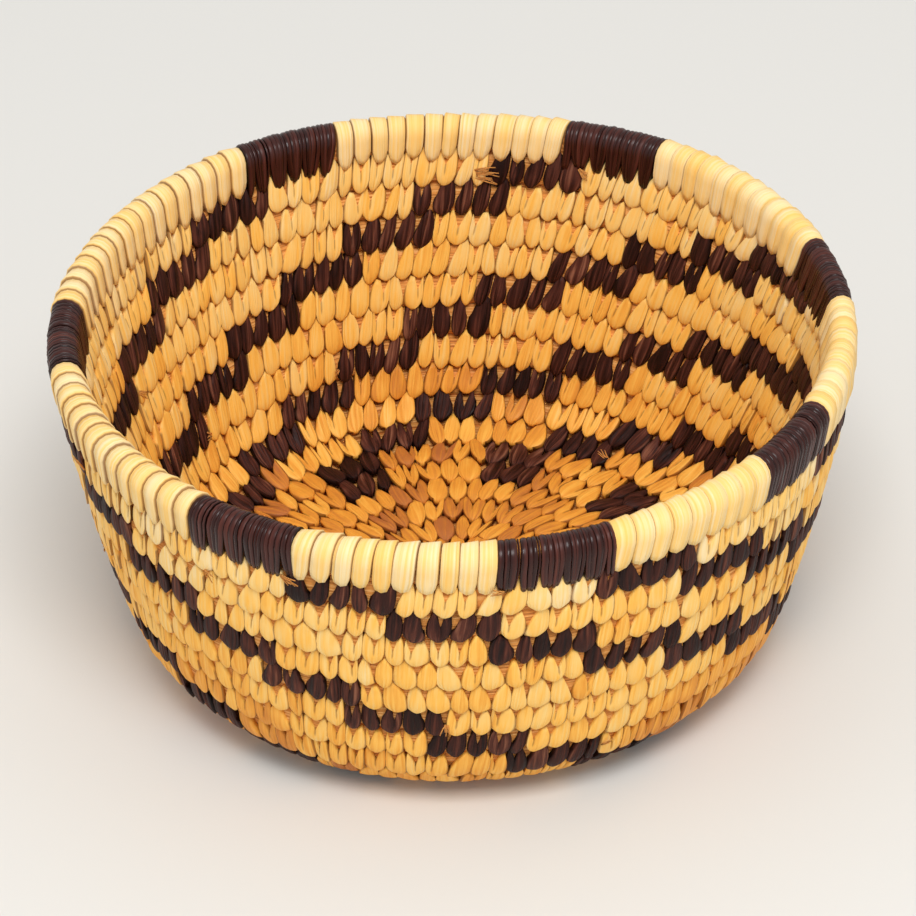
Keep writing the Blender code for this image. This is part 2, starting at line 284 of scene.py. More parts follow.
# Half its width along its length, from its top to its lower end, as shares of the full
LOWER_WAIST = [
    (0.55, 1.0), (0.65, 0.98), (0.75, 0.91), (0.83, 0.81), (0.9, 0.69), (0.94, 0.59), (1, 0.35)]
# How the two leaves are sewn: the waist, how far the edges lie below the ridge, how many rows the
# shoulders lie below the tip, how narrow the tip is, how full a stitch fills its share of the run, and
# how often the stitch above splits it
WALL_STITCHES = {
    "pale": {"waist": [(0, 0.92), (0.3, 1.0)] + LOWER_WAIST, "crown": 0.45 * MM, "point": (0.45, 0.65),
             "point_power": 1.4, "fullness": (1.0, 1.12), "split_chance": 0.9},
    "dark": {"waist": [(0, 0.72), (0.12, 0.9), (0.35, 1.0)] + LOWER_WAIST, "crown": 0.55 * MM,
             "point": (0.25, 0.4), "point_power": 1.8, "fullness": (0.92, 1.04), "split_chance": 0.35},
}
# How far it leans over a row's height, as a mean and a spread, and the rows at which it starts and ends
WALL_LEANS = {OUTSIDE: (0.7 * MM, 0.3 * MM), INSIDE: (-1.4 * MM, 0.3 * MM)}
WALL_ENDS = {OUTSIDE: ((-0.76, -0.62), (0.42, 0.52)), INSIDE: ((-0.84, -0.68), (0.46, 0.56))}
STITCH_SPREAD = 0.25
STITCH_LIFT = 0.08 * MM  # how much higher or lower than its neighbours one lies
STITCH_TILT = (-0.25 * MM, 0.35 * MM)
STITCH_RIDGE = 0.35  # how far off its middle its highest line may run, in half widths
HEAD_ROWS, FOOT_ROWS = 0.5, 0.62  # where its head and its foot count as lying, from its middle
FIRST_SEWN_ROW = 0.3  # under the rim's wrapping, where the coil has only begun to leave, none shows
# The base is sewn less evenly than the wall: by row, and what that does to the lean inside
LOOSENESS = [(7, 0), (11, 1)]
LOOSE_LEAN_LOSS = 0.6
LOOSE_LEAN_SPREAD = 0.8 * MM
# The stitch above splits the one below, if it comes down within this many half widths of its middle
SPLIT_REACH = 0.55
TIP_REACH = 0.4
NOTCH_DEPTH = 0.66  # in rows
NOTCH_REACH = 0.72  # in half widths, from the notch to the tip beside it
NOTCH_POWER = 1.2
SHOULDER_DROP = 0.75  # in rows for each half width beyond the tip
FOLD_DEPTH = 0.55 * MM  # a split stitch is folded below its notch
FOLD_REACH = 0.5
FOLD_FADE = 1.4
FOOT_ROUNDING = 0.05  # in rows
# Under the rim's wrapping the first row is pressed in: how deep, by the distance below the rim's middle
PRESSED_IN = [(0.38 * RIM_PITCH, 0.6 * MM), (0.5 * RIM_PITCH, 0)]


def wall_stitch(angle, side, half_width, ends, lean, hinge, split, lift, leaf):
    """Lays a strip as one stitch on the wall: forked or pointed above, rounded below.

    hinge is where across the stitch its notch or its tip lies, from -1 to 1."""
    radius = radius_at(angle)
    tilt = random.uniform(*STITCH_TILT)
    ridge = random.uniform(-STITCH_RIDGE, STITCH_RIDGE)
    point = random.uniform(*leaf["point"])
    top, bottom = ends

    def place(x, y, z):
        share = (1 - y) / 2
        u = x + hinge * (1 - x * x)
        off = abs(u - hinge)
        fold = 0
        if split:
            notch = NOTCH_DEPTH * max(1 - off / NOTCH_REACH, 0) ** NOTCH_POWER
            high = top + max(notch, SHOULDER_DROP * (off - NOTCH_REACH))
            fold = FOLD_DEPTH * max(1 - abs(x) / FOLD_REACH, 0) * max(1 - share * FOLD_FADE, 0)
        else:
            high = top + point * off ** leaf["point_power"]
        low = bottom - FOOT_ROUNDING * abs(u) ** 3
        row = high + (low - high) * share
        sideways = half_width * between(leaf["waist"], share) * u - lean * (row - (top + bottom) / 2)
        edge = abs(u - ridge) / (1 + abs(ridge))
        turned = angle + sideways / radius
        distance = below_rim(turned) + row * ROW_PITCH
        height = between(STITCH_PROFILE, row) + lift - leaf["crown"] * edge ** 3 - fold + tilt * u
        height += z * STRIP_DEPTH - between(PRESSED_IN, distance)
        return on_wall(turned, distance, side * height)

    return place


# How far a pale stitch has gone from straw to deep orange, by row; on the base rows the colour is
# also deeper as painted shade, for the weaker light there
WARMTH_AND_BASE_SHADE_BY_ROW = [(0, 0.1), (1, 0.24), (3, 0.34), (7, 0.42), (9, 0.53), (12, 0.66), (17, 0.74)]
WARMTH_SPREAD = 0.06
# Where one batch of leaf was redder: side, rows, azimuths in degrees, and how much warmer
RIPE_PATCHES = [
    (INSIDE, 7.6, 8.4, 80, 113, 0.2), (OUTSIDE, 6.6, 9.5, 210, 242, 0.16),
    (OUTSIDE, 6.6, 9.5, 300, 342, 0.16)]
# On the base, a leaf here and there dried redder than the rest
REDDER_FROM_ROW = 8
REDDER_CHANCE = 0.12
REDDER = 0.25
DARK_WARMTH = (0.2, 0.5)


def field_warmth(row, azimuth, side):
    warmth = between(WARMTH_AND_BASE_SHADE_BY_ROW, row)
    degrees = math.degrees(azimuth) % 360
    for patch_side, low_row, high_row, low, high, more in RIPE_PATCHES:
        if side == patch_side and low_row <= row <= high_row and low < degrees < high:
            warmth += more
    if row > REDDER_FROM_ROW and random.random() < REDDER_CHANCE:
        warmth += REDDER
    return warmth + random.uniform(-WARMTH_SPREAD, WARMTH_SPREAD)


def run_strips(kind, low, high, side, above):
    """The stitches of one run, on one side of the wall, and the angles at which their lower ends lie.

    above are the angles of the lower ends of earlier turns' stitches."""
    leaf = WALL_STITCHES[kind]
    radius = radius_at((low + high) / 2)
    strips = []
    feet = []
    for angle, step in share_out(low, high, STRAP_WIDTH / radius, STITCH_SPREAD):
        row = rows_below_rim(angle)
        lean = random.gauss(*WALL_LEANS[side])
        if side == INSIDE:
            loose = between(LOOSENESS, row)
            lean = lean * (1 - LOOSE_LEAN_LOSS * loose) + loose * random.gauss(0, LOOSE_LEAN_SPREAD)
        feet.append(angle - lean * FOOT_ROWS / radius)
        if row < FIRST_SEWN_ROW:
            continue
        half_width = step * radius / 2 * random.uniform(*leaf["fullness"])
        ends = [random.uniform(*rows) for rows in WALL_ENDS[side]]
        # The nearest stitch above either splits this one, or leaves it a tip beside itself
        head = angle + lean * HEAD_ROWS / radius
        near = [(other + TURN - head) * radius / half_width for other in above]
        near = min(near, key=abs) if near else random.uniform(-1, 1)
        split = abs(near) < SPLIT_REACH and random.random() < leaf["split_chance"]
        if split:
            hinge = near
        else:
            hinge = max(-TIP_REACH, min(near - math.copysign(1, near), TIP_REACH))
        lift = random.uniform(-STITCH_LIFT, STITCH_LIFT)
        place = wall_stitch(angle, side, half_width, ends, lean, hinge, split, lift, leaf)
        if kind == "dark":
            warmth = random.uniform(*DARK_WARMTH)
        else:
            warmth = field_warmth(row, TIP_AZIMUTH + angle, side)
        strips.append((place, random.uniform(-1, 1), warmth, float(split)))
    return strips, feet


# The rim's wrapping: over a round top, then straight down both sides to the first row of stitches.
RIM_ARC = 3.72 * MM
ARC_SHARE = 0.42  # of the way from the top of the rim to the strip's end
ARC_MIDDLE = RIM_ARC - RIM_PITCH / 2 + 0.35 * MM  # below the rim's middle; negative is above
FIRST_ROW = RIM_PITCH / 2  # below the rim's middle, where the first row begins
# Over the coil's tapered end the rim is slimmer, and below it the strips also cover the coil that
# leaves: how far both go, by the share of the climb
TAPER_SHARES = [(0, 0), (0.3, 1), (0.8, 1), (1, 0)]
TAPER_SLIMMER = 0.75 * MM
TAPER_WIDER_BELOW = 0.35 * MM
# How the two leaves are wrapped: a strip's width and how much it varies, how much it laps over its
# neighbour in half widths, how high it lies, how much its ends narrow and how far they reach below
# where the first row begins
RIM_STRAPS = {
    "pale": {
        "width": STRAP_WIDTH, "spread": 0.12, "tilt": (0.07, 0.18), "lift": (-0.07 * MM, 0.1 * MM),
        "narrowing": {OUTSIDE: 0.24, INSIDE: 0.4},
        "reach": {INSIDE: (0.6 * MM, 1.8 * MM), OUTSIDE: (0.1 * MM, 0.9 * MM)}},
    "dark": {
        "width": RIM_DARK_WIDTH, "spread": 0.3, "tilt": (-0.15, 0.3), "lift": (-0.12 * MM, 0.1 * MM),
        "narrowing": {OUTSIDE: 0.14, INSIDE: 0.14},
        "reach": {INSIDE: (0.8 * MM, 2.2 * MM), OUTSIDE: (0.5 * MM, 1.5 * MM)}},
}
STRAP_FULLNESS = (0.96, 1.06)
STRAP_BEVEL = 0.45 * MM  # how deep a pale strip's edges are rounded off
CORD_CROWN = 0.19 * MM  # how far a dark strip's edges lie below its middle
END_ROUNDING = 0.55  # in half widths
END_DIVE = 0.35 * MM  # the ends go down into the row below
DIVE_START = 0.75
NARROW_START = 0.76
NARROW_POWER = 1.5
RIM_SLANT = (0.6 * MM, 1.3 * MM)  # along the coil, between a strip's top and its ends
FIRST_SLANT_SHARE = 1.6  # a run's first strip slants by this share of it, and its last by 1 less
SLANT_SPREAD = 0.2 * MM
# Dark strips that share a hole are drawn towards it, from half way down, more inside than outside
GATHER_SHARE = 0.6
GATHER_START = 0.5
GATHER_POWER = 1.4
GATHERED = {OUTSIDE: 1.4, INSIDE: 2.2}
GATHERED_AT_HOLE = 1.6  # where the hole itself lies, seen from the first strip drawn into it
SHORTER_OFF_HOLE = 0.2 * MM
DARK_END_SPREAD = 0.2 * MM
# Here and there a dark strip is so narrow that the grass shows beside it
NARROW_CHANCE = 0.06
NARROW_SHARE = 0.45
# The rim's leaf varies less from strip to strip than the wall's
RIM_TONE = 0.6
RIM_WARMTH = (0.1, 0.17)


def rim_strap(angle, half_width, ends, slant, gather, lift, kind):
    """Lays a strip over the rim, from its rounded end inside to its end outside.

    gather draws both ends towards one hole, a distance along the coil from the strip's own middle."""
    leaf = RIM_STRAPS[kind]
    tilt = half_width * random.uniform(*leaf["tilt"])
    taper = between(TAPER_SHARES, angle / CLIMB)
    arc_middle = ARC_MIDDLE + rim_dip(angle)

    def place(x, y, z):
        side = INSIDE if y < 0 else OUTSIDE
        along = abs(y)
        if kind == "dark":
            edge = CORD_CROWN * x * x
        else:
            edge = STRAP_BEVEL * max(abs(x) - BEVEL_START, 0) / (1 - BEVEL_START)
        proud = lift - edge + tilt * x + z * STRIP_DEPTH
        if along < ARC_SHARE:
            turn = along / ARC_SHARE * math.pi / 2
            height = (RIM_ARC + proud - TAPER_SLIMMER * taper) * math.sin(turn)
            distance = arc_middle - (RIM_ARC + proud) * math.cos(turn)
        else:
            share = (along - ARC_SHARE) / (1 - ARC_SHARE)
            end = ends[side] - END_ROUNDING * half_width * abs(x) ** 3
            distance = arc_middle + (end - arc_middle) * share
            height = RIM_ARC + proud - END_DIVE * max(share - DIVE_START, 0) / (1 - DIVE_START)
            height += taper * (TAPER_WIDER_BELOW * share - TAPER_SLIMMER * (1 - share))
        narrowed = (max(along - NARROW_START, 0) / (1 - NARROW_START)) ** NARROW_POWER
        width = half_width * (1 - leaf["narrowing"][side] * narrowed)
        pull = gather * max(along - GATHER_START, 0) ** GATHER_POWER * GATHERED[side]
        sideways = width * x + pull - side * slant * along
        return on_wall(angle + sideways / RIM_RADIUS, distance, side * height)

    return place


def rim_strips(kind, low, high):
    """The straps of one run of the rim, and the angles at which their ends lie on each side."""
    leaf = RIM_STRAPS[kind]
    strips = []
    feet = {OUTSIDE: [], INSIDE: []}
    slant = random.uniform(*RIM_SLANT)
    parts = share_out(low, high, leaf["width"] / RIM_RADIUS, leaf["spread"])
    for index, (angle, step) in enumerate(parts):
        half_width = step * RIM_RADIUS / 2 * random.uniform(*STRAP_FULLNESS)
        if kind == "dark" and random.random() < NARROW_CHANCE:
            half_width *= NARROW_SHARE
        new_hole = kind == "pale" or index % DARK_PER_HOLE == 0
        if new_hole:
            hole = {side: FIRST_ROW + random.uniform(*reach)
                    for side, reach in leaf["reach"].items()}
        gather = 0
        ends = hole
        if kind == "dark":
            off_hole = (DARK_PER_HOLE - 1) / 2 - index % DARK_PER_HOLE
            gather = off_hole * step * RIM_RADIUS * GATHER_SHARE
            shorter = SHORTER_OFF_HOLE * abs(off_hole)
            ends = {side: end - shorter + random.uniform(-DARK_END_SPREAD, DARK_END_SPREAD)
                    for side, end in hole.items()}
        own_slant = slant * (FIRST_SLANT_SHARE - index / len(parts))
        own_slant += random.uniform(-SLANT_SPREAD, SLANT_SPREAD)
        lift = random.uniform(*leaf["lift"])
        place = rim_strap(angle, half_width, ends, own_slant, gather, lift, kind)
        strips.append((place, random.uniform(-RIM_TONE, RIM_TONE), random.uniform(*RIM_WARMTH), 0.0))
        if new_hole:
            for side in (OUTSIDE, INSIDE):
                feet[side].append(angle + (gather * GATHERED_AT_HOLE - side * own_slant) / RIM_RADIUS)
    return strips, feet


def skin_tube(bm, rings, sites):
    """Skins rings of points with a tube, closed at both ends.

    sites says, for each ring, how far along the tube it lies, for the grain of the stems."""
    along = bm.verts.layers.float.get("along") or bm.verts.layers.float.new("along")
    across = bm.verts.layers.float.get("across") or bm.verts.layers.float.new("across")
    loops = []
    for points, site in zip(rings, sites):
        verts = [bm.verts.new(point) for point in points]
        for corner, vert in enumerate(verts):
            vert[along] = site
            vert[across] = math.sin(corner * TURN / len(verts))
        loops.append((verts, [bm.edges.new(pair) for pair in zip(verts, verts[1:] + verts[:1])]))
    for (_, edges), (_, next_edges) in zip(loops, loops[1:]):
        bmesh.ops.bridge_loops(bm, edges=edges + next_edges)
    for verts, _ in (loops[0], loops[-1]):
        bm.faces.new(verts)


# The grass bundle.
# Half its thickness, by row: it leaves room for the rim's wrapping, and the base has deeper seams
BUNDLE_HALF_WIDTH = [(0.6, 2.35 * MM), (1.2, 2.75 * MM), (7, 2.75 * MM), (10, 0.9 * MM)]
BUNDLE_START = CLIMB / 4  # the coil's thin end lies under the rim's strips
BUNDLE_STEP = 3.2 * MM
BUNDLE_CORNERS = 18
BUNDLE_POWERS = (0.8, 0.75)  # across and along the wall: below 1 is squarer than an ellipse
ROW_OVERLAP = 1.02
UNDER_WRAPPING = 0.39 * RIM_PITCH  # above the rim's middle, how far the bundle reaches under the strips
LEAST_TOP_SHARE = 0.1
KNOT_HALF_SIZE = (3.4 * MM, 3.4 * MM, 2.8 * MM)
KNOT_GRAIN = 3 * MM


def bundle_ring(angle):
    """The outline of the grass bundle: as tall as its row, so that it meets its neighbours."""
    share = min(angle / CLIMB, 1)
    half_width = between(BUNDLE_HALF_WIDTH, rows_below_rim(angle)) * share
    half_height = (ROW_PITCH * share + extra_height(angle)) / 2 * ROW_OVERLAP
    top_share = 1
    if angle < TURN + CLIMB:
        room = UNDER_WRAPPING - rim_dip(angle) + below_rim(angle)
        top_share = min(max(room / half_height, LEAST_TOP_SHARE), 1)
    points = []
    for corner in range(BUNDLE_CORNERS):
        turn = corner * TURN / BUNDLE_CORNERS
        across, along = (math.copysign(abs(value) ** power, value)
                         for value, power in zip((math.cos(turn), math.sin(turn)), BUNDLE_POWERS))
        along *= half_height * (1 if along > 0 else top_share)
        points.append(on_wall(angle, below_rim(angle) + along, across * half_width))
    return points


def add_knot(bm):
    """The knot that the coil starts from: it closes the middle of the base."""
    knot = bmesh.ops.create_uvsphere(bm, u_segments=20, v_segments=12, radius=1)["verts"]
    for vert in knot:
        vert[bm.verts.layers.float["along"]] = KNOT_GRAIN * vert.co.x
        vert[bm.verts.layers.float["across"]] = vert.co.y
    bmesh.ops.scale(bm, verts=knot, vec=KNOT_HALF_SIZE)
    bmesh.ops.translate(bm, verts=knot, vec=(0, 0, BASE_HEIGHT))


def build_bundle(name, start, end, node):
    bm = bmesh.new()
    angles = [start]
    while angles[-1] < end:
        angles.append(min(angles[-1] + BUNDLE_STEP / radius_at(angles[-1]), end))
    rings = [bundle_ring(angle) for angle in angles]
    skin_tube(bm, rings, [angle * radius_at(angle) for angle in angles])
    if node == "start_knot":
        add_knot(bm)
    bmesh.ops.recalc_face_normals(bm, faces=bm.faces)
    new_piece(name, bm, GRASS, [node])


# Tufts of loose grass: three-sided stalks that fan out from one spot
STALK_STEPS = 3
STALK_LENGTH = 2.2 * MM
SHORTEST_STALK = 0.4  # as a share of the longest
LONGER_PER_STALK = 0.24 * MM  # a thicker tuft is longer and wider
WIDER_PER_STALK = 0.07 * MM
STALK_RADII = [(0, 0.2 * MM), (1, 0.14 * MM)]  # from its root to its tip
STALK_HEIGHTS = [(0, 3.5 * MM), (1, 4.4 * MM)]  # above the coil's middle
FAN = 0.3
FAN_SPREAD = 0.12
CURL = 0.2
# Where the first row meets the rim or an arm: azimuth in degrees, side, rows below the coil's middle,
# stalks, and where they point
TUFTS = [
    (85.5, INSIDE, 0.12, 16, math.pi), (245, OUTSIDE, -0.42, 9, 0.5), (276, OUTSIDE, -0.42, 7, 3.4),
    (232, OUTSIDE, 0.4, 6, 0.3), (68, INSIDE, -0.4, 6, 2.8)]
# And at a few ends of the dark runs, but not under the rim's wrapping
TUFT_CHANCE = 0.05
TUFT_FROM_ROW = 0.5
TUFT_ROWS = 0.3
TUFT_STALKS = (3, 7)


def frayed_end(bm, angle, side, down, stalks, facing):
    """A tuft of grass that stands out where a stitch ends.

    facing is 0 where it points on along the coil, and turns down the wall."""
    radius = radius_at(angle)
    for _ in range(stalks):
        off_middle = random.uniform(-1, 1)
        heading = facing + FAN * off_middle + random.gauss(0, FAN_SPREAD)
        curl = random.uniform(-CURL, CURL)
        length = random.uniform(SHORTEST_STALK, 1) * (STALK_LENGTH + LONGER_PER_STALK * stalks)
        root = off_middle * WIDER_PER_STALK * stalks
        rings = []
        for step in range(STALK_STEPS + 1):
            share = step / STALK_STEPS
            turned = heading + curl * share
            thick = between(STALK_RADII, share)
            height = between(STALK_HEIGHTS, share)
            ring = []
            for corner in range(3):
                around = corner * TURN / 3
                aside = root + thick * math.cos(around)
                spot = angle + (length * share * math.cos(turned) - aside * math.sin(turned)) / radius
                distance = down + length * share * math.sin(turned) + aside * math.cos(turned)
                proud = height + thick * math.sin(around)
                ring.append(on_wall(spot, below_rim(spot) + distance, side * proud))
            rings.append(ring)
        site = random.uniform(0, 1)
        skin_tube(bm, rings, [site + length * step / STALK_STEPS for step in range(STALK_STEPS + 1)])


def linear(code):
    """A #RRGGBB colour as the renderer wants it."""
    channels = [int(code[start:start + 2], 16) / 255 for start in (1, 3, 5)]
    return [c / 12.92 if c <= 0.04045 else ((c + 0.055) / 1.055) ** 2.4 for c in channels] + [1]


def new_material(name):
    material = bpy.data.materials.new(name)
    material.use_nodes = True
    return material, material.node_tree.nodes["Principled BSDF"]


def add_node(material, kind, settings=None, inputs=None):
    """Adds a node. An input is a value, or the output of another node, which is linked."""
    node = material.node_tree.nodes.new(kind)
    for key, value in (settings or {}).items():
        setattr(node, key, value)
    for key, value in (inputs or {}).items():
        if isinstance(value, bpy.types.NodeSocket):
            material.node_tree.links.new(value, node.inputs[key])
        else:
            node.inputs[key].default_value = value
    return node


def set_stops(ramp, stops):
    elements = ramp.color_ramp.elements
    while len(elements) < len(stops):
        elements.new(0.5)
    for element, (position, code) in zip(elements, stops):
        element.position = position
        element.color = linear(code)


def link(material, output, socket):
    material.node_tree.links.new(output, socket)


# How much a strip's own tone and the blotches on it shift its colour
TONE_TINT = 0.09
BLOTCH_TINT = 0.2
BLOTCH_SIZE = 6.25 * MM


def leaf_material(name, stops, painted_seam_shade_code, ribs_across, rib_tint, rib_depth, roughness, sheen):
    """Split leaf: stiff lengthwise ribs, a satin skin, and edges darkened as painted shade where strips
    meet.
    """
    material, shader = new_material(name)
    uv = add_node(material, "ShaderNodeUVMap", {"uv_map": "along_strip"})
    tone, warmth, split = (
        add_node(material, "ShaderNodeAttribute", {"attribute_name": layer}).outputs["Fac"]
        for layer in STRIP_LAYERS)
    # Ribs that run the length of the strip, different on each strip
    ribs_at = add_node(material, "ShaderNodeMapping", inputs={
        "Vector": uv.outputs[0], "Scale": (ribs_across, 0.7, 1)})
    shifted = add_node(material, "ShaderNodeMath", {"operation": "MULTIPLY"}, {0: tone, 1: 40.0})
    ribs = add_node(material, "ShaderNodeTexNoise", {"noise_dimensions": "4D"}, {
        "Vector": ribs_at.outputs[0], "W": shifted.outputs[0], "Scale": 1.0, "Detail": 2.0})
    ribs = add_node(material, "ShaderNodeMapRange", inputs={
        "Value": ribs.outputs["Fac"], "From Min": 0.3, "From Max": 0.7})
    ribs = ribs.outputs["Result"]
    # Blotches a few millimetres wide
    coordinates = add_node(material, "ShaderNodeTexCoord")
    blotch = add_node(material, "ShaderNodeTexNoise", inputs={
        "Vector": coordinates.outputs["Object"], "Scale": 1 / BLOTCH_SIZE, "Detail": 2.0})
    # Where the colour falls on the ramp: the patch it lies in, its own tone, its ribs and blotches
    shade = warmth
    for part, tint in ((tone, TONE_TINT), (ribs, rib_tint), (blotch.outputs["Fac"], BLOTCH_TINT)):
        shade = add_node(material, "ShaderNodeMath", {"operation": "MULTIPLY_ADD"}, {
            0: part, 1: tint, 2: shade}).outputs[0]
    shade = add_node(material, "ShaderNodeMath", {"operation": "SUBTRACT"}, {
        0: shade, 1: (BLOTCH_TINT + rib_tint) / 2})
    ramp = add_node(material, "ShaderNodeValToRGB", inputs={"Fac": shade.outputs[0]})
    set_stops(ramp, stops)
    # The edges of each strip, darkened as painted shade for the seams between neighbouring strips
    parts = add_node(material, "ShaderNodeSeparateXYZ", inputs={"Vector": uv.outputs[0]})
    off_middle = add_node(material, "ShaderNodeMath", {"operation": "SUBTRACT"}, {
        0: parts.outputs["X"], 1: 0.5})
    off_middle = add_node(material, "ShaderNodeMath", {"operation": "ABSOLUTE"}, {
        0: off_middle.outputs[0]})
    edge = add_node(material, "ShaderNodeMapRange", {"interpolation_type": "SMOOTHSTEP"}, {
        "Value": off_middle.outputs[0], "From Min": 0.43, "From Max": 0.5,
        "To Min": 0.0, "To Max": 0.7})
    # The crack that runs on below the notch of a split stitch
    crack = add_node(material, "ShaderNodeMapRange", {"interpolation_type": "SMOOTHSTEP"}, {
        "Value": off_middle.outputs[0], "From Min": 0.01, "From Max": 0.07,
        "To Min": 0.5, "To Max": 0.0})
    reach = add_node(material, "ShaderNodeMapRange", {"interpolation_type": "SMOOTHSTEP"}, {
        "Value": parts.outputs["Y"], "From Min": 0.5, "From Max": 0.75})
    crack = add_node(material, "ShaderNodeMath", {"operation": "MULTIPLY"}, {
        0: crack.outputs["Result"], 1: reach.outputs["Result"]})
    crack = add_node(material, "ShaderNodeMath", {"operation": "MULTIPLY"}, {
        0: crack.outputs[0], 1: split})
    seam_shade_and_crack = add_node(material, "ShaderNodeMath", {"operation": "MAXIMUM"}, {
        0: edge.outputs["Result"], 1: crack.outputs[0]})
    # The colour turns to the painted seam shade at the strip's edges, and darkens along the crack
    color = add_node(material, "ShaderNodeMix", {"data_type": "RGBA"}, {
        "Factor": seam_shade_and_crack.outputs[0], 6: ramp.outputs["Color"], 7: linear(painted_seam_shade_code)})
    link(material, color.outputs[2], shader.inputs["Base Color"])
    bump = add_node(material, "ShaderNodeBump", inputs={
        "Strength": 1.0, "Distance": rib_depth, "Height": ribs})
    link(material, bump.outputs[0], shader.inputs["Normal"])
    # The skin is glossier on some ribs than on others
    gloss = add_node(material, "ShaderNodeMapRange", inputs={
        "Value": ribs, "To Min": roughness - 0.08, "To Max": roughness + 0.22})
    link(material, gloss.outputs["Result"], shader.inputs["Roughness"])
    shader.inputs["Specular IOR Level"].default_value = sheen
    return material


# Grass stems: how long each shows before it dips under another, and how many lie across the bundle,
# where each is about 0.4 mm thick
STEM_LENGTH = 20 * MM
STEMS_ACROSS = 20


def grass_material(name, stops):
    """Dried grass stems, bundled: thin round stalks along the coil, matt, straw to ginger."""
    material, shader = new_material(name)
    along = add_node(material, "ShaderNodeAttribute", {"attribute_name": "along"})
    across = add_node(material, "ShaderNodeAttribute", {"attribute_name": "across"})
    place = add_node(material, "ShaderNodeCombineXYZ", inputs={
        "X": along.outputs["Fac"], "Y": across.outputs["Fac"]})
    place = add_node(material, "ShaderNodeMapping", inputs={
        "Vector": place.outputs[0], "Scale": (1 / STEM_LENGTH, STEMS_ACROSS / 2, 1)})
    stems = add_node(material, "ShaderNodeTexNoise", inputs={
        "Vector": place.outputs[0], "Scale": 1.0, "Detail": 3.0})
    ramp = add_node(material, "ShaderNodeValToRGB", inputs={"Fac": stems.outputs["Fac"]})
    set_stops(ramp, stops)
    link(material, ramp.outputs["Color"], shader.inputs["Base Color"])
    bump = add_node(material, "ShaderNodeBump", inputs={
        "Strength": 0.9, "Distance": 0.3 * MM, "Height": stems.outputs["Fac"]})
    link(material, bump.outputs[0], shader.inputs["Normal"])
    shader.inputs["Roughness"].default_value = 0.8
    return material


# Palm leaf split by hand and dried: fine ribs about half a millimetre wide, a satin skin, straw to
# orange, and brown edges that are painted shade for the seams between strips
PALE_LEAF = leaf_material(
    "pale_split_palm_leaf",
    [(0.0, "#F9DFAA"), (0.2, "#FACE7B"), (0.42, "#FCBD53"), (0.62, "#EC9F39"), (0.82, "#D28432"),
     (1.0, "#B66C35")],
    painted_seam_shade_code="#6E330A", ribs_across=8, rib_tint=0.28, rib_depth=0.12 * MM, roughness=0.5, sheen=0.3)
# The same leaf dyed purple-black: the dye took unevenly, so its ribs stand out in brown; its
# near-black edges are painted shade for the seams between strips
DARK_LEAF = leaf_material(
    "dark_dyed_split_leaf", [(0.0, "#1D0A07"), (0.35, "#3B1B14"), (0.6, "#5A2F23"), (0.95, "#936048")],
    painted_seam_shade_code="#0C0403", ribs_across=6, rib_tint=0.75, rib_depth=0.4 * MM, roughness=0.5, sheen=0.16)
# On the rim it is worn and browner, and glossy from hands; its near-black edges are painted shade
# for the seams between strips
DARK_RIM_LEAF = leaf_material(
    "dark_dyed_leaf_rim_wrapping",
    [(0.0, "#2A0E0A"), (0.35, "#4E2219"), (0.6, "#70392A"), (0.95, "#B57C5A")],
    painted_seam_shade_code="#0B0403", ribs_across=1.5, rib_tint=0.6, rib_depth=0.1 * MM, roughness=0.26, sheen=0.28)
# The bundle's grass lies in shade between the stitches, and the loose ends are bleached
GRASS = grass_material("dried_grass_bundle", [(0.3, "#99541D"), (0.5, "#DF9342"), (0.7, "#F6BC74")])
LOOSE_GRASS = grass_material(
    "dried_grass_loose_ends", [(0.2, "#EB862C"), (0.5, "#FBA84C"), (0.8, "#FDD294")])

STITCH_FORM = strip_form(STITCH_COLUMNS, STITCH_ROWS)
STRAP_FORM = strip_form(STRAP_COLUMNS, STRAP_ROWS)
CORD_FORM = strip_form(CORD_COLUMNS, STRAP_ROWS)

build_bundle("grass_bundle_coil", BUNDLE_START, COIL_END, "foundation_coil")
build_bundle("grass_bundle_knot", COIL_END, KNOT_END, "start_knot")

# The rim is wrapped first, and then each run is sewn on the row above it. sewn holds where the stitches
# so far end, and a run looks a little beyond its own ends for those above it, in radians.
BEYOND_RUN = 0.1
BEYOND_CENTRE_RUN = 0.3
fields = {number: [] for number in ARM_NUMBERS}
arms = {number: [] for number in ARM_NUMBERS}
sewn = {OUTSIDE: [], INSIDE: []}
fibre_bm = bmesh.new()
for kind, number, turn, low, high in lay_out_runs():
    if turn == 0:
        strips, feet = rim_strips(kind, low, high)
        for side in (OUTSIDE, INSIDE):
            sewn[side] += feet[side]
        if kind == "dark":
            lay_strips(f"dark_rim_wrapping_{number}", CORD_FORM, strips, DARK_RIM_LEAF,
                       [f"dark_rim_{number}"])
        else:
            lay_strips(f"pale_rim_wrapping_{number}", STRAP_FORM, strips, PALE_LEAF,
                       [f"light_rim_{number}"])
        continue
    for side in (OUTSIDE, INSIDE):
        above = [angle for angle in sewn[side] if low - BEYOND_RUN < angle + TURN < high + BEYOND_RUN]
        strips, feet = run_strips(kind, low, high, side, above)
        (arms if kind == "dark" else fields)[number] += strips
        sewn[side] += feet
        if kind == "dark" and rows_below_rim(low) > TUFT_FROM_ROW:
            for edge in (low, high):
                if random.random() < TUFT_CHANCE:
                    frayed_end(fibre_bm, edge, side, random.uniform(-TUFT_ROWS, TUFT_ROWS) * ROW_PITCH,
                               random.randint(*TUFT_STALKS), random.uniform(0, TURN))

for azimuth, side, down, stalks, facing in TUFTS:
    angle = math.radians(azimuth) - TIP_AZIMUTH + TURN
    frayed_end(fibre_bm, angle, side, down * ROW_PITCH, stalks, facing)

for number in ARM_NUMBERS:
    lay_strips(f"dark_stitches_arm_{number}", STITCH_FORM, arms[number], DARK_LEAF,
               [f"dark_arm_{number}"])
    lay_strips(f"pale_stitches_field_{number}", STITCH_FORM, fields[number], PALE_LEAF,
               [f"light_field_{number}"])

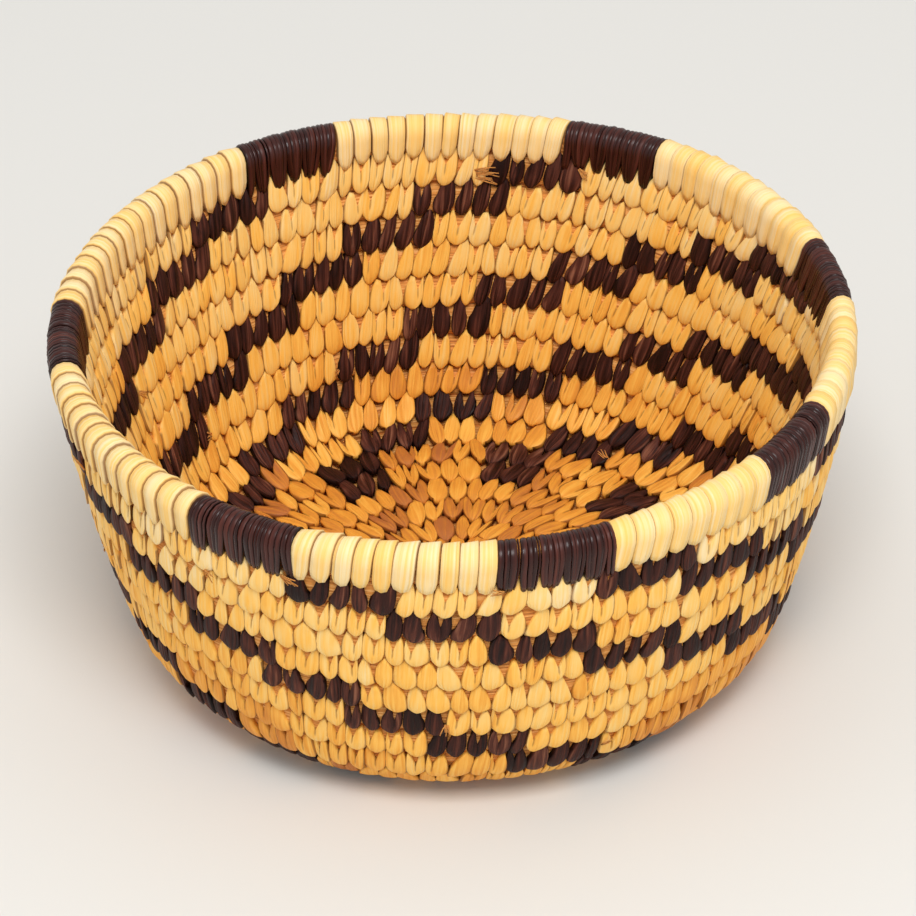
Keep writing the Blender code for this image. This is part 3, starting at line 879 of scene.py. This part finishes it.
# Inside the last dark run all is pale, and is sewn a quarter turn at a time
centre = []
low = high
while low < KNOT_END:
    high = min(low + TURN / 4, KNOT_END)
    for side in (OUTSIDE, INSIDE):
        above = [angle for angle in sewn[side]
                 if low - BEYOND_CENTRE_RUN < angle + TURN < high + BEYOND_CENTRE_RUN]
        strips, feet = run_strips("pale", low, high, side, above)
        centre += strips
        sewn[side] += feet
    low = high
lay_strips("pale_stitches_centre", STITCH_FORM, centre, PALE_LEAF, ["centre_stitches"])
bmesh.ops.recalc_face_normals(fibre_bm, faces=fibre_bm.faces)
new_piece("loose_grass_ends", fibre_bm, LOOSE_GRASS)

# The studio: a matt painted floor, and one large soft lamp in front and above
FLOOR_REACH = 3
WORLD_STRENGTH = 0.76
LAMP_PLACE = Vector((0.08, -0.66, 1.14))
LAMP_SIDE = 0.5
LAMP_WATTS = 10

floor_bm = bmesh.new()
bmesh.ops.create_grid(floor_bm, x_segments=1, y_segments=1, size=FLOOR_REACH)
floor_mesh = bpy.data.meshes.new("studio_floor")
floor_bm.to_mesh(floor_mesh)
floor_bm.free()
floor = bpy.data.objects.new("studio_floor", floor_mesh)
bpy.context.scene.collection.objects.link(floor)
floor_material, floor_shader = new_material("studio_floor_paint")
floor_shader.inputs["Base Color"].default_value = linear("#DDDBD6")
floor_shader.inputs["Roughness"].default_value = 0.9
floor_mesh.materials.append(floor_material)

world = bpy.data.worlds.new("studio")
bpy.context.scene.world = world
world.use_nodes = True
background = world.node_tree.nodes["Background"]
background.inputs["Color"].default_value = (1, 1, 1, 1)
background.inputs["Strength"].default_value = WORLD_STRENGTH

lamp_data = bpy.data.lights.new("window_lamp", "AREA")
lamp_data.size = LAMP_SIDE
lamp_data.energy = LAMP_WATTS
lamp = bpy.data.objects.new("window_lamp", lamp_data)
lamp.location = LAMP_PLACE
lamp.rotation_euler = (-LAMP_PLACE).to_track_quat("-Z", "Y").to_euler()
bpy.context.scene.collection.objects.link(lamp)

# The camera, fitted to the outline, the rim and the rows in the photograph
IMAGE_SIDE = 916
FOCAL_PIXELS = 5013
RIM_CENTRE_PIXELS = (452.8, 325.7)
CAMERA_ELEVATION = math.radians(33.88)
CAMERA_DISTANCE = 12.92 * RIM_RADIUS
CAMERA_ROLL = math.radians(1.34)
SENSOR_MM = 36

forward = Vector((0, math.cos(CAMERA_ELEVATION), -math.sin(CAMERA_ELEVATION)))
upright = Vector((0, math.sin(CAMERA_ELEVATION), math.cos(CAMERA_ELEVATION)))
sideways = Vector((1, 0, 0))
position = Vector((0, 0, HEIGHT - COIL_WIDTH / 2)) - forward * CAMERA_DISTANCE
right = sideways * math.cos(CAMERA_ROLL) - upright * math.sin(CAMERA_ROLL)
rolled_up = sideways * math.sin(CAMERA_ROLL) + upright * math.cos(CAMERA_ROLL)
aim = (forward * FOCAL_PIXELS + right * (IMAGE_SIDE / 2 - RIM_CENTRE_PIXELS[0])
       + rolled_up * (RIM_CENTRE_PIXELS[1] - IMAGE_SIDE / 2)).normalized()
right = aim.cross(rolled_up).normalized()
camera_axes = Matrix((right, right.cross(aim), -aim)).transposed()
camera_data = bpy.data.cameras.new("studio_camera")
camera_data.lens = FOCAL_PIXELS * SENSOR_MM / IMAGE_SIDE
camera_data.sensor_width = SENSOR_MM
camera = bpy.data.objects.new("studio_camera", camera_data)
camera.matrix_world = Matrix.Translation(position) @ camera_axes.to_4x4()
bpy.context.scene.collection.objects.link(camera)
bpy.context.scene.camera = camera

bpy.context.scene.view_settings.view_transform = "Standard"
